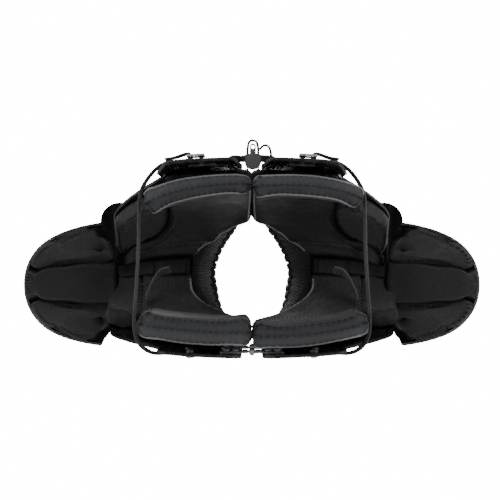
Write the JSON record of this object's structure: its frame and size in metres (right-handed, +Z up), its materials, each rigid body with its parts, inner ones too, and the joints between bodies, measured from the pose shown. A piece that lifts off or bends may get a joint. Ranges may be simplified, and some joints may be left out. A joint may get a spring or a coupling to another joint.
{
  "type": "shoulder pads",
  "caption": "Rigid shoulder pads: hinged halves with chest and back plates, padded bridges, epaulets and cups, laced in front, belted at the sides.",
  "frame": {"origin": "middle of the overall width and depth, level with the lower edges of the chest and back plates", "axes": "+Z up as worn, -Y towards the wearer's front, +X towards the wearer's left"},
  "size_m": [0.5496, 0.2456, 0.2909],
  "materials": {
    "shell_plastic": "gloss",
    "bracket_plastic": "satin",
    "cushion_fabric": "matte",
    "liner_mesh": "matte",
    "collar_fabric": "matte",
    "webbing": "matte",
    "cord": "matte",
    "lock_plastic": "satin",
    "dark_metal": "satin",
    "bright_metal": "satin"
  },
  "bodies": {
    "right_half": {"right_arch": "shell_plastic", "right_front_pad": "cushion_fabric", "right_back_pad": "cushion_fabric", "right_front_liner": "liner_mesh", "right_shoulder_liner": "liner_mesh", "right_back_liner": "liner_mesh", "right_channel_pad": "liner_mesh", "right_deltoid_pad": "liner_mesh", "right_rear_deltoid_pad": "liner_mesh", "right_collar": "collar_fabric", "right_epaulet_bracket": "bracket_plastic", "right_epaulet_pin": "dark_metal", "right_cup_bracket": "bracket_plastic", "right_cup_pin": "dark_metal", "right_belt": "webbing", "right_belt_hook": "dark_metal", "right_channel_strap": "webbing", "right_lace_eyelets": "bright_metal", "right_rivets": "bright_metal", "right_lace": "cord", "right_hinge_leaf": "dark_metal", "lace_tails": "cord", "hinge_pins": "dark_metal"},
    "left_half": {"left_arch": "shell_plastic", "left_front_pad": "cushion_fabric", "left_back_pad": "cushion_fabric", "left_front_liner": "liner_mesh", "left_shoulder_liner": "liner_mesh", "left_back_liner": "liner_mesh", "left_channel_pad": "liner_mesh", "left_deltoid_pad": "liner_mesh", "left_rear_deltoid_pad": "liner_mesh", "left_collar": "collar_fabric", "left_epaulet_bracket": "bracket_plastic", "left_epaulet_pin": "dark_metal", "left_cup_bracket": "bracket_plastic", "left_cup_pin": "dark_metal", "left_belt": "webbing", "left_belt_hook": "dark_metal", "left_channel_strap": "webbing", "left_lace_eyelets": "bright_metal", "left_rivets": "bright_metal", "left_lace": "cord", "left_hinge_leaf": "dark_metal"},
    "right_epaulet": {"right_epaulet": "shell_plastic"},
    "left_epaulet": {"left_epaulet": "shell_plastic"},
    "right_cup": {"right_cup_shell": "shell_plastic", "right_cup_front_pad": "liner_mesh", "right_cup_centre_pad": "liner_mesh", "right_cup_rear_pad": "liner_mesh"},
    "left_cup": {"left_cup_shell": "shell_plastic", "left_cup_front_pad": "liner_mesh", "left_cup_centre_pad": "liner_mesh", "left_cup_rear_pad": "liner_mesh"},
    "cord_lock": {"cord_lock_body": "lock_plastic", "cord_lock_spring": "bright_metal", "cord_lock_loops": "cord"},
    "cord_lock_button": {"cord_lock_plunger": "lock_plastic"}
  },
  "joints": [
    {"name": "back_opening", "type": "hinge", "parent": "right_half", "child": "left_half", "pos_m": [0, 0.11674, 0.072], "axis": [0, 0, 1], "range_deg": [0, 12]},
    {"name": "left_epaulet_lift", "type": "hinge", "parent": "left_half", "child": "left_epaulet", "pos_m": [0.088, 0.01954, 0.2705], "axis": [0, -1, 0], "range_deg": [0, 75]},
    {"name": "right_epaulet_lift", "type": "hinge", "parent": "right_half", "child": "right_epaulet", "pos_m": [-0.088, 0.01954, 0.2705], "axis": [0, 1, 0], "range_deg": [0, 75]},
    {"name": "left_cup_swing", "type": "hinge", "parent": "left_half", "child": "left_cup", "pos_m": [0.163, 0.02754, 0.254], "axis": [0, -1, 0], "range_deg": [0, 35]},
    {"name": "right_cup_swing", "type": "hinge", "parent": "right_half", "child": "right_cup", "pos_m": [-0.163, 0.02754, 0.254], "axis": [0, 1, 0], "range_deg": [0, 35]},
    {"name": "cord_lock_slide", "type": "slide", "parent": "right_half", "child": "cord_lock", "axis": [0, -1, 0], "range_m": [0, 0.008]},
    {"name": "cord_lock_press", "type": "slide", "parent": "cord_lock", "child": "cord_lock_button", "axis": [0, 1, 0], "range_m": [0, 0.0035], "stiffness_N_per_m": 400, "springref_m": -0.002, "deforming": ["cord_lock_spring"]}
  ]
}
